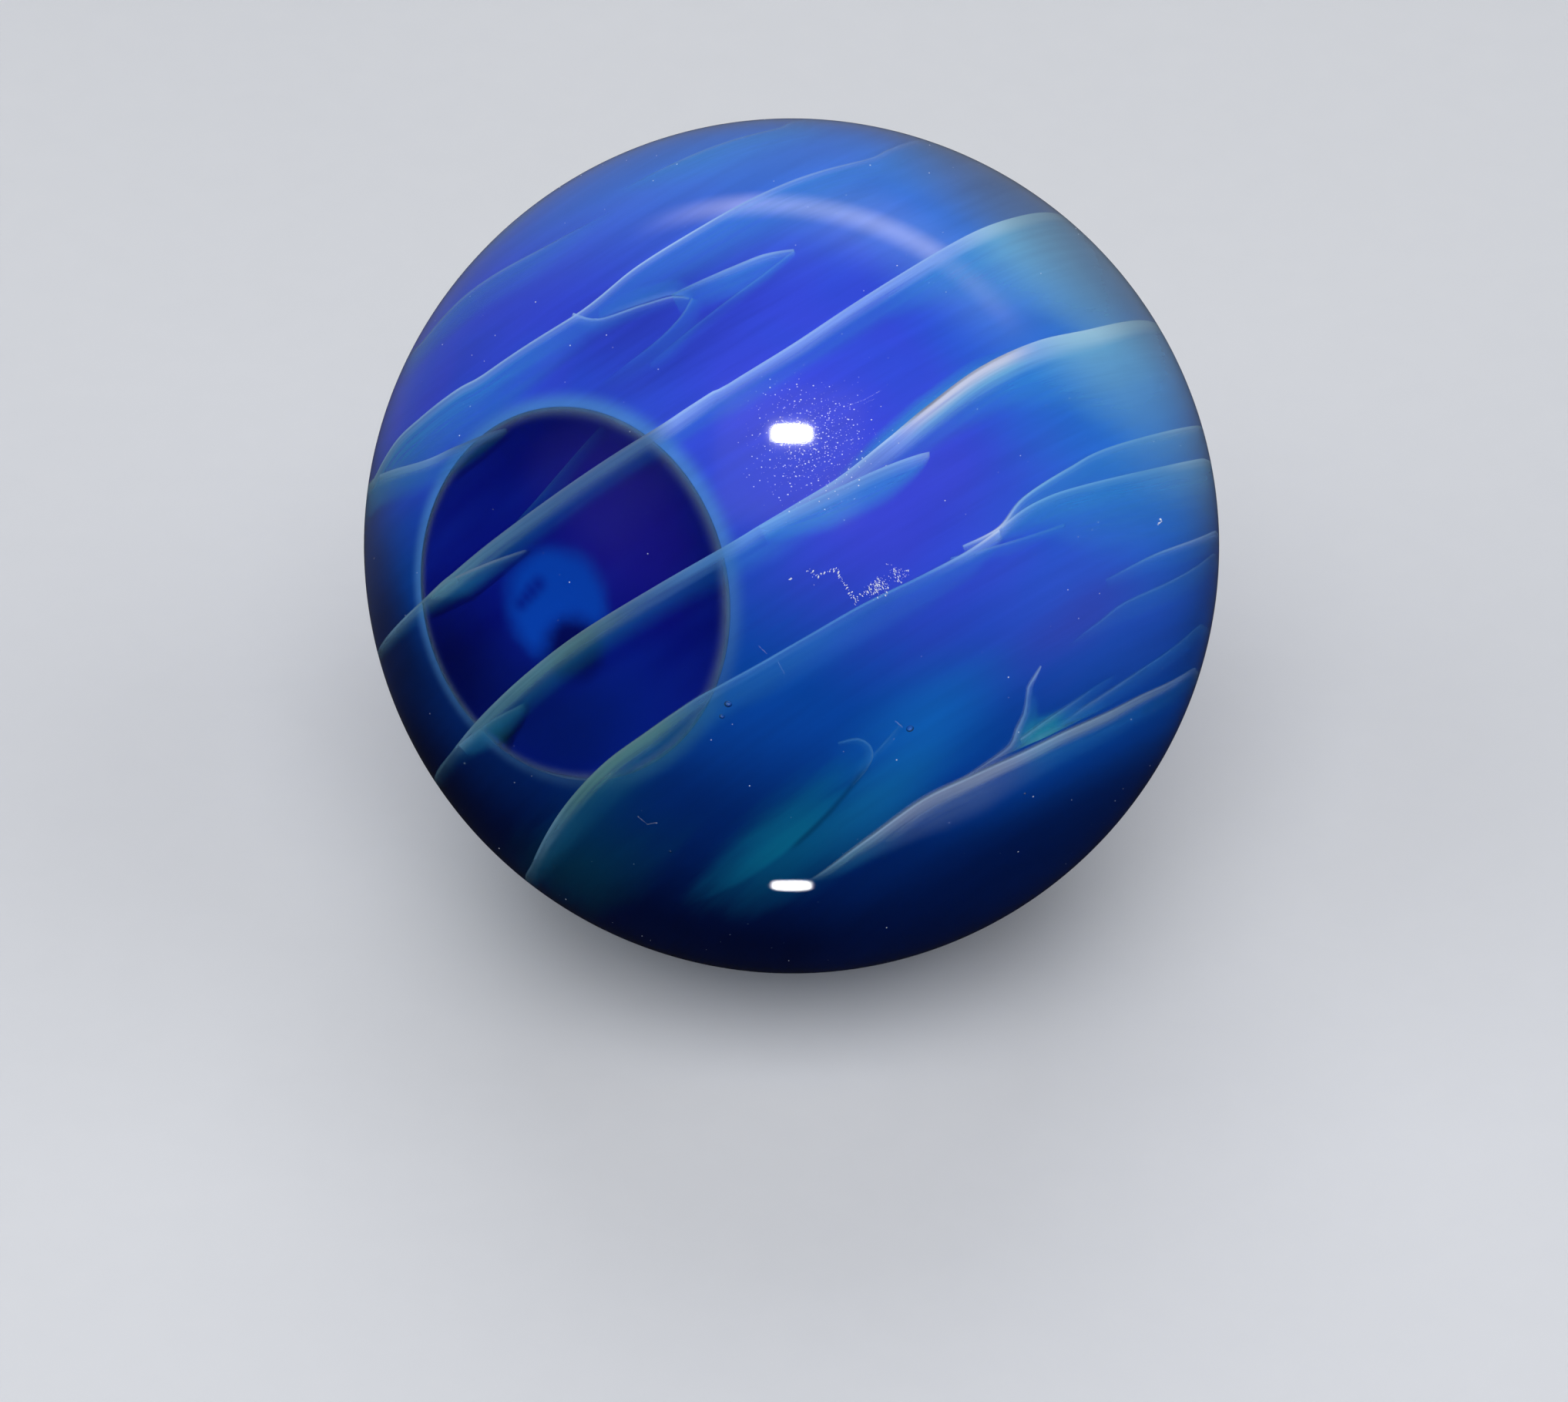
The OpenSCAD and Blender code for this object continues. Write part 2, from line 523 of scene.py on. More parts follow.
def veil_glass():
    """Pale silvery glass: a thin bright lip, a milky band and a long azure fade."""
    material, graph = new_material("pale_veil_glass")
    unit = graph.scaled(graph.place(), 1 / BODY_RADIUS)
    across = graph.attribute("across")
    reach = graph.attribute("reach")
    milky = graph.attribute("band")
    fibre = graph.noise(winding_grain(graph, unit, 26.0, 2.0), 1.0, 3.0, 0.6)
    patchy = graph.noise(winding_grain(graph, unit, 9.0, 3.2), 1.0, 2.0)

    def patch(pixel, inner, outer):
        return near(graph, unit, pixel, inner, outer)

    # Places that have a colour of their own; along the ridge the lip is a painted shadow line
    pale = towards(graph, unit, PALE_SIDE, 0.8, 0.94)
    low = towards(graph, unit, (-0.3, 0.1, -0.95), -0.5, 0.1)
    slate = towards(graph, unit, (0.68, 0.35, 0.64), 0.9, 1.0)
    inside = within_rim(graph, unit, 0.05, -0.05)
    azure = patch((1430, 620), 110, 220)
    ridge = patch((1245, 490), 70, 150)
    haze = patch((1095, 628), 40, 110)
    knot = patch((1288, 691), 8, 50)
    brook = patch((1060, 820), 130, 260)
    olive = patch((800, 985), 90, 230)
    mauve = patch((1240, 1040), 60, 170)
    ash = patch((1450, 925), 70, 190)
    spring = patch((1350, 948), 14, 55)

    # Strengths of the lip, the band and the fade, with fine threads along the veil
    level = graph.dot(unit, winding_axis) * 3.0
    weave = graph.joined(reach * 7.0, graph.attribute("along") * 0.2, level)
    streaky = graph.noise(weave, 1.0, 3.0, 0.6)
    thread = streaky + 0.8 * pale * (0.5 - streaky)
    lip = (1 - graph.smooth(reach, 0.02, 0.09)) * graph.attribute("lip") * (0.15 + 0.8 * patchy)
    depth = reach / (0.2 + 0.3 * milky)
    band = (1 - graph.smooth(depth, 0.05, 1.0)) * milky.smaller(1.0) * (1.5 * thread + 0.05)
    tail = (1 - across) ** 1.1 * graph.attribute("tail") * (0.2 + 1.0 * thread)

    fade_colour = graph.washed(graph.mix(inside, tint("#3a90d8"), tint("#125ca4")), [
        (low * 0.8, "#2a86a8"),
        (olive * 0.8, "#1e6a80"),
        (pale * 0.8, "#7cbcdc"),
        (mauve * 0.9, "#5c74ac"),
        (spring, "#2ea8b8"),
    ])
    milk_colour = graph.washed(graph.mix(inside, tint("#9ab4fa"), tint("#56769a")), [
        (low * 0.8, "#74a4a6"),
        (patch((768, 832), 20, 90) * 0.8, "#627e74"),
        (olive * 0.85, "#6a9482"),
        (pale, "#bce2f0"),
        (azure * 0.8, "#64aee2"),
        (brook * 0.7, "#5c9ce0"),
        (haze * 0.9, "#8098d6"),
    ])
    core_colour = graph.mix(graph.smooth(reach, 0.1, 0.42), tint("#f2eaee"), tint("#92d0e6"))
    milk_colour = graph.washed(graph.mix(ridge, milk_colour, core_colour), [
        (mauve, "#98a4bc"),
        (ash * 0.9, "#8c9caa"),
    ])
    lip_colour = graph.washed(graph.mix(inside, tint("#bcdcfa"), tint("#8c8f9e")), [
        (azure, "#9cd4f2"),
        (brook * 0.8, "#6cb4ea"),
        (olive * 0.8, "#86a2a4"),
        # Painted shadow line: the lip turns dark slate along the ridge's raised upper edge
        (ridge, "#4c5468"),
        (knot, "#f2faff"),
    ])
    milk_share = band.larger(0.0) / (band.larger(0.0) + tail * 0.4 + 0.02)
    colour = graph.mix(lip, graph.mix(milk_share, fade_colour, milk_colour), lip_colour)
    shown = 1 - (1 - lip) * (1 - band.smaller(0.95).larger(0.0)) * (1 - tail.smaller(0.92))
    upper_side = 1 - graph.attribute("under")
    glass = graph.principled({
        "Base Color": graph.mix(slate * 0.6, colour, tint("#66849e")),
        "Roughness": 0.4 + 0.3 * fibre,
        "Specular IOR Level": 0.0,
        "Alpha": (shown * (1 - graph.smooth(across, 0.6, 0.98)) * upper_side ** 3.0).smaller(0.97),
    })
    graph.surface(lit_through(graph, glass, tint("#ffffff")))
    return material


def speck_grey():
    """Pale dust and scuffed glass."""
    material, graph = new_material("speck_grey")
    grain = graph.noise(graph.scaled(graph.place(), 1 / MM), 6.0, 2.0)
    graph.surface(graph.principled({
        "Base Color": graph.mix(grain, tint("#c0cae4"), tint("#f6f8fc")),
        "Roughness": 0.5 + 0.3 * grain,
    }))
    return material


def bubble_air():
    """Air in a small bubble inside the glass."""
    material, graph = new_material("bubble_air")
    dust = graph.noise(graph.scaled(graph.place(), 1 / MM), 20.0, 2.0)
    air = graph.principled({
        "Base Color": tint("#f4f8ff"),
        "Roughness": 0.02 + 0.03 * dust,
        "IOR": 1 / GLASS_INDEX,
        "Transmission Weight": 1.0,
    })
    graph.surface(lit_through(graph, air, tint("#ffffff")))
    return material


def floor_finish():
    """Smooth pale board."""
    material, graph = new_material("floor_finish")
    speckle = graph.noise(graph.place(), 900.0, 3.0)
    cloud = graph.noise(graph.place(), 18.0, 2.0)
    graph.surface(graph.principled({
        "Base Color": graph.mix(0.3 * speckle + 0.7 * cloud, tint("#cfd2d8"), tint("#d8dadf")),
        "Roughness": 0.55 + 0.1 * speckle,
    }))
    return material


def new_object(name, mesh):
    piece = bpy.data.objects.new(name, mesh)
    bpy.context.scene.collection.objects.link(piece)
    return piece


def mesh_from(name, shape):
    """Object of a bmesh, smooth shaded."""
    for face in shape.faces:
        face.smooth = True
    mesh = bpy.data.meshes.new(name)
    shape.to_mesh(mesh)
    shape.free()
    return new_object(name, mesh)


def glass_ball():
    """Polished outer ball, out of round by about a hundredth of a millimetre, as a hand-worked one is."""
    shape = bmesh.new()
    bmesh.ops.create_icosphere(shape, subdivisions=BALL_DIVISIONS, radius=BALL_RADIUS)
    for vertex in shape.verts:
        unit = vertex.co.normalized()
        bulge = noise.noise(unit * OUT_OF_ROUND_SCALE) - OUT_OF_ROUND_MIDDLE
        vertex.co = unit * (BALL_RADIUS + OUT_OF_ROUND * bulge)
    return mesh_from("glass_ball", shape)


def revolved(profile):
    """Closed shape from [distance from the window's axis, height along it] points, pole to pole."""
    level = window_axis.to_track_quat("Z", "Y").to_matrix()
    turns = [math.tau * i / TURN_STEPS for i in range(TURN_STEPS)]
    shape = bmesh.new()
    rings = []
    for out, height in profile:
        points = [Vector((out * math.cos(turn), out * math.sin(turn), height)) for turn in turns]
        if out == 0:
            points = [Vector((0, 0, height))]
        rings.append([shape.verts.new(level @ point) for point in points])
    for upper, lower in zip(rings, rings[1:]):
        for i in range(TURN_STEPS):
            corners = [upper[i % len(upper)], lower[i % len(lower)]]
            corners += [lower[(i + 1) % len(lower)], upper[(i + 1) % len(upper)]]
            shape.faces.new(list(dict.fromkeys(corners)))
    bmesh.ops.recalc_face_normals(shape, faces=shape.faces)
    return shape


def bowl_profile(steps, gap):
    """Points of the window's back from its deepest point to its rim, a gap behind the dark glass."""
    radius = window_back_radius + gap
    rim = math.asin(window_rim_radius / window_back_radius)
    points = []
    for i in range(steps + 1):
        angle = rim * i / steps
        points.append((radius * math.sin(angle), window_back_distance - radius * math.cos(angle)))
    return points


def body_profile(start, stop, steps):
    """Points of the body's outside between two angles from the window's axis."""
    points = []
    for i in range(steps + 1):
        angle = start + (stop - start) * i / steps
        out = 0 if i == steps and stop == math.pi else BODY_RADIUS * math.sin(angle)
        points.append((out, BODY_RADIUS * math.cos(angle)))
    return points


def blue_body():
    """Blue ball with a shallow round bed for the window."""
    lip = WINDOW_BED_GAP / BODY_RADIUS
    profile = bowl_profile(BOWL_STEPS, WINDOW_BED_GAP)
    profile += body_profile(window_rim_angle + 2 * lip, math.pi, BODY_STEPS)
    return mesh_from("blue_body_glass", revolved(profile))


def window_lens(face, depth):
    """Lens of dark glass: a face flush with the body and a rounded back."""
    front = body_profile(0, window_rim_angle, FACE_STEPS)
    front[0] = (0, BODY_RADIUS)
    back = bowl_profile(BOWL_STEPS, 0)[::-1][1:]
    shape = revolved(front + back)
    for polygon in shape.faces:
        behind = polygon.calc_center_median().length < BODY_RADIUS * FACE_SHARE
        polygon.material_index = 1 if behind and polygon.normal.dot(window_axis) < 0 else 0
    piece = mesh_from("window_lens", shape)
    piece.data.materials.append(face)
    piece.data.materials.append(depth)
    return piece


# Veils that the front shows. The rows run along the sharp edge with the fade on their right-hand side. Each
# is a pixel's x and y, the width of the fade in pixels and the strengths of the thin lip, of the milky band
# behind it and of the fade. The two numbers before the rows are how far the veil goes on round the winding
# axis past its first and last row, in degrees.
FRONT_VEILS = {
    "crown_left": (60, 0, [
        (550, 440, 60, 0.0, 0.2, 0.7), (599, 386, 80, 0.1, 0.2, 0.7), (690, 327, 80, 0.2, 0.1, 0.5),
        (760, 288, 40, 0.1, 0.0, 0.2), (800, 266, 6, 0.0, 0.0, 0.0),
    ]),
    "crown_right": (0, 40, [
        (800, 246, 6, 0.0, 0.0, 0.0), (840, 226, 60, 0.2, 0.0, 0.4), (900, 199, 100, 0.4, 0.1, 0.7),
        (1002, 167, 90, 0.3, 0.1, 0.6),
    ]),
    "brow": (80, 60, [
        (487, 618, 60, 0.4, 0.5, 1.0), (516, 570, 90, 0.6, 0.45, 1.2), (547, 541, 106, 0.7, 0.4, 1.2),
        (594, 505, 106, 0.7, 0.35, 1.1), (637, 479, 96, 0.8, 0.3, 0.9), (747, 406, 60, 1.0, 0.3, 0.6),
        (823, 346, 84, 1.0, 0.3, 0.6), (913, 290, 96, 0.9, 0.3, 0.6),
        (1032, 231, 120, 0.6, 0.3, 0.6), (1122, 205, 120, 0.2, 0.2, 0.4),
    ]),
    "brow_low": (30, 0, [
        (480, 626, 60, 0.3, 0.5, 0.7), (540, 601, 50, 0.3, 0.45, 0.9), (590, 580, 40, 0.3, 0.4, 0.9),
        (630, 563, 24, 0.3, 0.3, 0.8), (653, 555, 8, 0.2, 0.1, 0.4),
    ]),
    "beak": (0, 0, [
        (742, 404, 16, 1.0, 0.3, 0.4), (775, 411, 24, 0.85, 0.1, 0.3), (830, 393, 24, 0.75, 0.1, 0.25),
        (872, 381, 20, 0.7, 0.1, 0.2), (893, 383, 12, 0.6, 0.0, 0.1),
    ]),
    "beak_glow": (0, 0, [
        (896, 386, 10, 0.0, 0.0, 0.2), (872, 381, 34, 0.0, 0.1, 0.6), (830, 393, 40, 0.0, 0.1, 0.6),
        (775, 411, 26, 0.0, 0.0, 0.2),
    ]),
    "beak_under": (0, 0, [
        (770, 500, 4, 0.0, 0.0, 0.0), (800, 478, 30, 0.0, 0.0, 0.1), (850, 440, 40, 0.2, 0.0, 0.3),
        (882, 408, 34, 0.35, 0.0, 0.35), (896, 384, 14, 0.4, 0.0, 0.3),
    ]),
    "leaf_high": (0, 0, [
        (870, 380, 44, 0.1, 0.0, 0.4), (940, 350, 56, 0.5, 0.25, 0.9), (990, 330, 40, 0.65, 0.25, 0.9),
        (1030, 321, 10, 0.6, 0.1, 0.5),
    ]),
    "leaf_high_under": (0, 0, [
        (840, 470, 24, 0.0, 0.0, 0.1), (910, 412, 20, 0.2, 0.0, 0.2), (985, 356, 16, 0.3, 0.0, 0.2),
        (1030, 321, 8, 0.4, 0.0, 0.2),
    ]),
    "shoulder": (85, 80, [
        (547, 779, 26, 0.5, 0.4, 0.5), (572, 756, 36, 0.5, 0.8, 0.8), (599, 734, 42, 0.4, 0.9, 0.9),
        (674, 675, 45, 0.4, 0.9, 0.9), (748, 622, 43, 0.4, 0.9, 0.9), (845, 559, 43, 0.4, 0.9, 0.8),
        (892, 528, 44, 0.6, 0.8, 0.7), (925, 507, 48, 0.9, 0.6, 0.7), (945, 497, 50, 0.6, 0.5, 0.6),
        (1032, 443, 48, 0.5, 0.7, 0.6), (1122, 384, 52, 0.5, 0.7, 0.7), (1196, 339, 84, 0.5, 0.8, 1.0),
        (1271, 298, 200, 0.4, 0.9, 1.5), (1330, 279, 330, 0.2, 0.8, 1.4), (1375, 278, 340, 0.1, 0.4, 0.8),
    ]),
    "shoulder_leaf": (0, 0, [
        (552, 774, 4, 0.8, 0.4, 0.3), (572, 758, 26, 1.0, 0.6, 0.7), (600, 744, 36, 0.9, 0.3, 0.7),
        (640, 727, 22, 0.9, 0.2, 0.5), (677, 714, 4, 0.6, 0.0, 0.2),
    ]),
    "window_thread": (0, 0, [
        (632, 716, 16, 0.0, 0.0, 0.1), (700, 640, 26, 0.1, 0.0, 0.4), (777, 551, 16, 0.0, 0.0, 0.1),
    ]),
    "middle": (90, 90, [
        (584, 977, 26, 0.2, 0.15, 0.25), (622, 932, 42, 0.4, 0.7, 0.8), (681, 876, 47, 0.4, 0.9, 0.9),
        (748, 824, 48, 0.4, 0.9, 0.9), (845, 764, 48, 0.5, 0.9, 0.9), (942, 708, 52, 0.7, 0.7, 0.8),
        (985, 682, 60, 1.0, 0.6, 0.7), (1030, 655, 56, 0.9, 0.7, 0.6), (1090, 618, 50, 0.9, 1.1, 0.6),
        (1151, 570, 54, 1.0, 1.3, 0.8), (1204, 526, 60, 1.0, 1.5, 1.0), (1271, 477, 74, 0.9, 1.7, 1.2),
        (1345, 443, 118, 0.6, 1.5, 1.5), (1420, 426, 210, 0.3, 1.2, 1.4), (1495, 417, 250, 0.1, 0.5, 0.7),
    ]),
    "middle_glow": (0, 0, [
        (1340, 445, 4, 0.0, 0.0, 0.0), (1271, 477, 16, 0.0, 0.0, 0.8), (1204, 526, 20, 0.0, 0.0, 1.1),
        (1151, 570, 18, 0.0, 0.0, 1.0), (1110, 603, 10, 0.0, 0.0, 0.5), (1085, 622, 4, 0.0, 0.0, 0.0),
    ]),
    "middle_fray": (0, 0, [
        (594, 968, 20, 0.4, 0.2, 0.7), (632, 938, 44, 0.3, 0.1, 0.8), (674, 916, 12, 0.3, 0.0, 0.6),
    ]),
    "middle_leaf": (0, 0, [
        (985, 683, 26, 0.9, 0.4, 0.8), (1060, 646, 54, 0.5, 0.45, 1.2), (1140, 609, 48, 0.5, 0.45, 1.3),
        (1185, 592, 30, 0.5, 0.4, 1.2), (1207, 586, 8, 0.4, 0.3, 0.7),
    ]),
    "middle_leaf_under": (0, 0, [
        (995, 692, 14, 0.1, 0.0, 0.2), (1070, 668, 24, 0.05, 0.0, 0.3), (1140, 638, 24, 0.05, 0.0, 0.3),
        (1206, 589, 8, 0.1, 0.0, 0.2),
    ]),
    "belly": (95, 0, [
        (689, 1122, 30, 0.2, 0.2, 0.35), (726, 1055, 54, 0.3, 0.6, 0.8), (778, 996, 62, 0.5, 0.9, 1.0),
        (838, 951, 66, 0.6, 0.9, 1.1), (898, 910, 56, 0.7, 0.5, 0.9), (935, 890, 50, 0.8, 0.2, 0.6),
        (972, 870, 56, 0.7, 0.1, 0.5), (1047, 827, 60, 0.6, 0.1, 0.5), (1122, 784, 56, 0.55, 0.1, 0.5),
        (1196, 748, 50, 0.6, 0.1, 0.5), (1256, 716, 40, 0.9, 0.3, 0.6), (1298, 687, 16, 1.0, 0.6, 0.6),
    ]),
    "belly_high": (0, 70, [
        (1252, 708, 10, 0.8, 0.2, 0.4), (1298, 684, 26, 1.0, 0.4, 0.6), (1330, 645, 54, 0.8, 0.2, 0.7),
        (1390, 606, 90, 0.7, 0.2, 0.7), (1450, 577, 120, 0.6, 0.2, 0.7), (1554, 552, 110, 0.25, 0.15, 0.4),
    ]),
    "belly_low": (0, 60, [
        (1290, 692, 14, 0.9, 0.4, 0.5), (1345, 652, 60, 0.6, 0.2, 0.7), (1420, 626, 110, 0.5, 0.2, 0.8),
        (1554, 596, 140, 0.4, 0.2, 0.8),
    ]),
    "belly_leaf": (0, 0, [
        (1236, 724, 10, 0.4, 0.0, 0.3), (1310, 704, 22, 0.35, 0.0, 0.4), (1385, 680, 8, 0.3, 0.0, 0.2),
    ]),
    "hip": (8, 60, [
        (1046, 1150, 8, 0.0, 0.0, 0.0), (1069, 1134, 30, 0.4, 0.3, 0.4), (1122, 1093, 54, 0.6, 0.8, 0.8),
        (1196, 1039, 90, 0.6, 1.1, 1.1), (1271, 1003, 92, 0.6, 1.1, 1.1), (1323, 980, 76, 0.6, 1.0, 0.9),
        (1383, 951, 66, 0.4, 1.0, 0.8), (1443, 924, 62, 0.3, 0.9, 0.7), (1495, 898, 56, 0.2, 0.6, 0.5),
        (1547, 870, 46, 0.1, 0.25, 0.3),
    ]),
    "hip_core": (0, 0, [
        (1150, 1096, 6, 0.0, 0.1, 0.1), (1200, 1056, 24, 0.3, 0.3, 0.5), (1250, 1026, 30, 0.35, 0.4, 0.6),
        (1300, 1000, 18, 0.35, 0.3, 0.5), (1340, 981, 6, 0.2, 0.1, 0.2),
    ]),
    "hip_fan": (0, 0, [
        (1450, 915, 4, 0.0, 0.0, 0.0), (1405, 935, 26, 0.0, 0.0, 0.6), (1350, 960, 40, 0.0, 0.1, 1.0),
        (1318, 976, 24, 0.0, 0.0, 0.6), (1290, 990, 4, 0.0, 0.0, 0.0),
    ]),
    "hip_wisp": (0, 0, [
        (1236, 1022, 4, 0.3, 0.1, 0.2), (1282, 992, 14, 0.4, 0.2, 0.6), (1312, 969, 26, 0.4, 0.2, 0.7),
        (1320, 948, 40, 0.4, 0.2, 0.8), (1330, 928, 34, 0.3, 0.1, 0.7),
        (1334, 908, 20, 0.25, 0.1, 0.5), (1336, 894, 13, 0.45, 0.2, 0.5), (1345, 879, 9, 0.7, 0.3, 0.5),
        (1354, 866, 4, 0.7, 0.2, 0.3),
    ]),
    "hip_thread": (0, 0, [
        (1326, 960, 16, 0.3, 0.2, 0.7), (1365, 932, 40, 0.15, 0.1, 0.7), (1420, 896, 30, 0.05, 0.0, 0.3),
        (1450, 878, 10, 0.0, 0.0, 0.1),
    ]),
    "hip_line": (0, 30, [
        (1380, 942, 16, 0.1, 0.0, 0.3), (1420, 912, 30, 0.2, 0.1, 0.5), (1490, 866, 34, 0.2, 0.0, 0.4),
        (1555, 815, 30, 0.15, 0.0, 0.3),
    ]),
    "right_thread": (0, 30, [
        (1440, 752, 16, 0.1, 0.0, 0.2), (1510, 716, 30, 0.5, 0.1, 0.4), (1575, 690, 36, 0.5, 0.2, 0.5),
    ]),
    "right_line": (0, 30, [
        (1390, 840, 4, 0.0, 0.0, 0.0), (1430, 808, 24, 0.2, 0.0, 0.3), (1480, 774, 36, 0.3, 0.0, 0.4),
        (1572, 722, 36, 0.3, 0.0, 0.3),
    ]),
    "hook_tail": (0, 0, [
        (1132, 985, 8, 0.1, 0.0, 0.2), (1150, 965, 14, 0.2, 0.0, 0.3), (1171, 942, 5, 0.1, 0.0, 0.1),
    ]),
    "hook": (0, 0, [
        (1088, 967, 8, 0.2, 0.0, 0.2), (1114, 961, 12, 0.4, 0.0, 0.3), (1131, 970, 14, 0.4, 0.0, 0.4),
        (1134, 986, 16, 0.3, 0.0, 0.4), (1124, 1005, 16, 0.1, 0.0, 0.3), (1108, 1024, 10, 0.0, 0.0, 0.1),
    ]),
}

# Veils of the sides that the photograph doesn't show. Each has the latitude of its middle, the latitude
# that it gains along its length, its middle longitude about the winding axis and half its length, in
# degrees, then the width of the fade in pixels and the three strengths.
BACK_VEILS = {
    "pole_swirl": (67, 34, 20, 135, 120, 0.4, 0.9, 1.0),
    "pole_curl": (56, 26, 328, 80, 130, 0.4, 1.0, 1.0),
    "back_crown": (40, 9, 316, 66, 120, 0.4, 0.9, 0.9),
    "back_brow": (25, -7, 304, 60, 150, 0.4, 1.1, 1.1),
    "left_brow": (30, 9, 5, 45, 100, 0.4, 0.8, 0.9),
    "back_middle": (9, 6, 330, 78, 170, 0.4, 1.2, 1.1),
    "left_middle": (-7, -8, 4, 42, 110, 0.4, 0.8, 0.9),
    "back_belly": (-12, 6, 300, 57, 120, 0.5, 0.6, 0.9),
    "left_hip": (-24, 8, 2, 38, 100, 0.4, 0.8, 0.9),
    "back_hip": (-33, -6, 326, 76, 160, 0.4, 1.1, 1.0),
    "back_foot": (-56, 8, 320, 65, 120, 0.4, 0.7, 0.9),
}

# Steps along the veils in degrees, and the sway and the uneven fullness of the back ones
WRAP_STEP = 8
BACK_STEP = 8
BACK_SWAY = 3.0
BACK_SWAY_LENGTH = 35
BACK_FULLNESS_LENGTH = 25
BACK_FULLNESS_SEED = 9


def turned(direction, degrees):
    """Direction turned about the winding axis."""
    return Matrix.Rotation(math.radians(degrees), 3, winding_axis) @ direction


def front_rows(before, after, rows):
    """Direction and [width, lip, band, fade] along one front veil, with its ends wrapped round the ball."""
    seen = [(inner_point(row[:2], BODY_RADIUS + EDGE_LIFT).normalized(), Vector(row[2:])) for row in rows]
    lead = []
    for turn in range(before - before % WRAP_STEP, 0, -WRAP_STEP):
        left = 1 - turn / (before + WRAP_STEP)
        lead.append((turned(seen[0][0], -turn), seen[0][1] * left))
    trail = []
    for turn in range(WRAP_STEP, after, WRAP_STEP):
        left = 1 - turn / after
        trail.append((turned(seen[-1][0], turn), seen[-1][1] * left))
    return lead + seen + trail


def back_rows(latitude, gain, longitude, half, *strengths):
    """Direction and [width, lip, band, fade] along one back veil, which swells in its middle."""
    rows = []
    for turn in range(-half, half + 1, BACK_STEP):
        level = latitude + gain * turn / (2 * half)
        drift = noise.noise(Vector((latitude, turn / BACK_SWAY_LENGTH, 0)))
        sway = BACK_SWAY * math.cos(math.radians(level)) * drift
        uneven = noise.noise(Vector((latitude, turn / BACK_FULLNESS_LENGTH, BACK_FULLNESS_SEED)))
        fullness = math.cos(math.pi / 2 * turn / half) * (0.8 + 0.5 * uneven)
        rows.append((wound(level + sway, longitude + turn), Vector(strengths) * (0.05 + 0.95 * fullness)))
    return rows


def curve_between(a, b, c, d, t):
    """Smooth curve through b and c, steered by their neighbours."""
    bend = 2 * a - 5 * b + 4 * c - d
    twist = 3 * (b - c) + d - a
    return 0.5 * (2 * b + (c - a) * t + bend * t ** 2 + twist * t ** 3)


def fine_rows(rows):
    """The rows with even small steps between them."""
    fine = []
    for i in range(len(rows) - 1):
        near_rows = [rows[max(i - 1, 0)], rows[i], rows[i + 1], rows[min(i + 2, len(rows) - 1)]]
        span = (rows[i + 1][0] - rows[i][0]).length * BODY_RADIUS
        steps = max(int(span / PATH_STEP), 1)
        for k in range(steps):
            direction = curve_between(*[row[0] for row in near_rows], k / steps).normalized()
            fine.append((direction, rows[i][1].lerp(rows[i + 1][1], k / steps)))
    fine.append(rows[-1])
    return fine


def edge_chains(name, chains):
    """Object of loose edges that join the points of each chain."""
    points = []
    edges = []
    for chain in chains:
        start = len(points)
        points += chain
        edges += [(i, i + 1) for i in range(start, len(points) - 1)]
    mesh = bpy.data.meshes.new(name)
    mesh.from_pydata(points, edges, [])
    return new_object(name, mesh)


def veil_paths(paths):
    """Edge chains along the veils, with a width in metres and the three strengths at each point."""
    fine = [fine_rows(rows) for rows in paths]
    chains = [[direction * BODY_RADIUS for direction, _ in rows] for rows in fine]
    carrier = edge_chains("veil_paths", chains)
    columns = zip(*[row for rows in fine for _, row in rows])
    for label, column in zip(["width", "lip", "band", "tail"], columns):
        unit = PIXEL if label == "width" else 1
        numbers = [number * unit for number in column]
        carrier.data.attributes.new(label, "FLOAT", "POINT").data.foreach_set("value", numbers)
    return carrier


# Kinds of inputs of the geometry trees
NUMBER = "NodeSocketFloat"
COUNT = "NodeSocketInt"
POINT = "NodeSocketVector"
GEOMETRY = "NodeSocketGeometry"


def new_tree(name, inputs):
    """Geometry tree with a mesh in and out and named inputs, its graph and the values of its inputs."""
    tree = bpy.data.node_groups.new(name, "GeometryNodeTree")
    tree.interface.new_socket(name="Geometry", in_out="OUTPUT", socket_type=GEOMETRY)
    for label, kind in {"Geometry": GEOMETRY, **inputs}.items():
        tree.interface.new_socket(name=label, in_out="INPUT", socket_type=kind)
    graph = Graph(tree)
    given = {output.name: Value(graph, output) for output in graph.node("NodeGroupInput").outputs}
    return tree, graph, given


def finish_tree(graph, geometry, material):
    """Realized, smooth geometry with its material at the tree's output."""
    real = graph.node("GeometryNodeRealizeInstances", None, {"Geometry": geometry}).outputs[0]
    soft = graph.node("GeometryNodeSetShadeSmooth", None, {"Geometry": real}).outputs[0]
    inputs = {"Geometry": soft, "Material": material}
    graph.node("NodeGroupOutput", None, {0: graph.node("GeometryNodeSetMaterial", None, inputs).outputs[0]})


def grown(name, carrier, tree, sizes):
    """Plain mesh object that a geometry tree makes from a carrier object. The carrier is removed."""
    modifier = carrier.modifiers.new(tree.name, "NODES")
    modifier.node_group = tree
    for item in tree.interface.items_tree:
        if item.in_out == "INPUT" and item.name in sizes:
            modifier[item.identifier] = sizes[item.name]
    evaluated = carrier.evaluated_get(bpy.context.evaluated_depsgraph_get())
    mesh = bpy.data.meshes.new_from_object(evaluated)
    mesh.name = name
    bpy.data.objects.remove(carrier)
    return new_object(name, mesh)


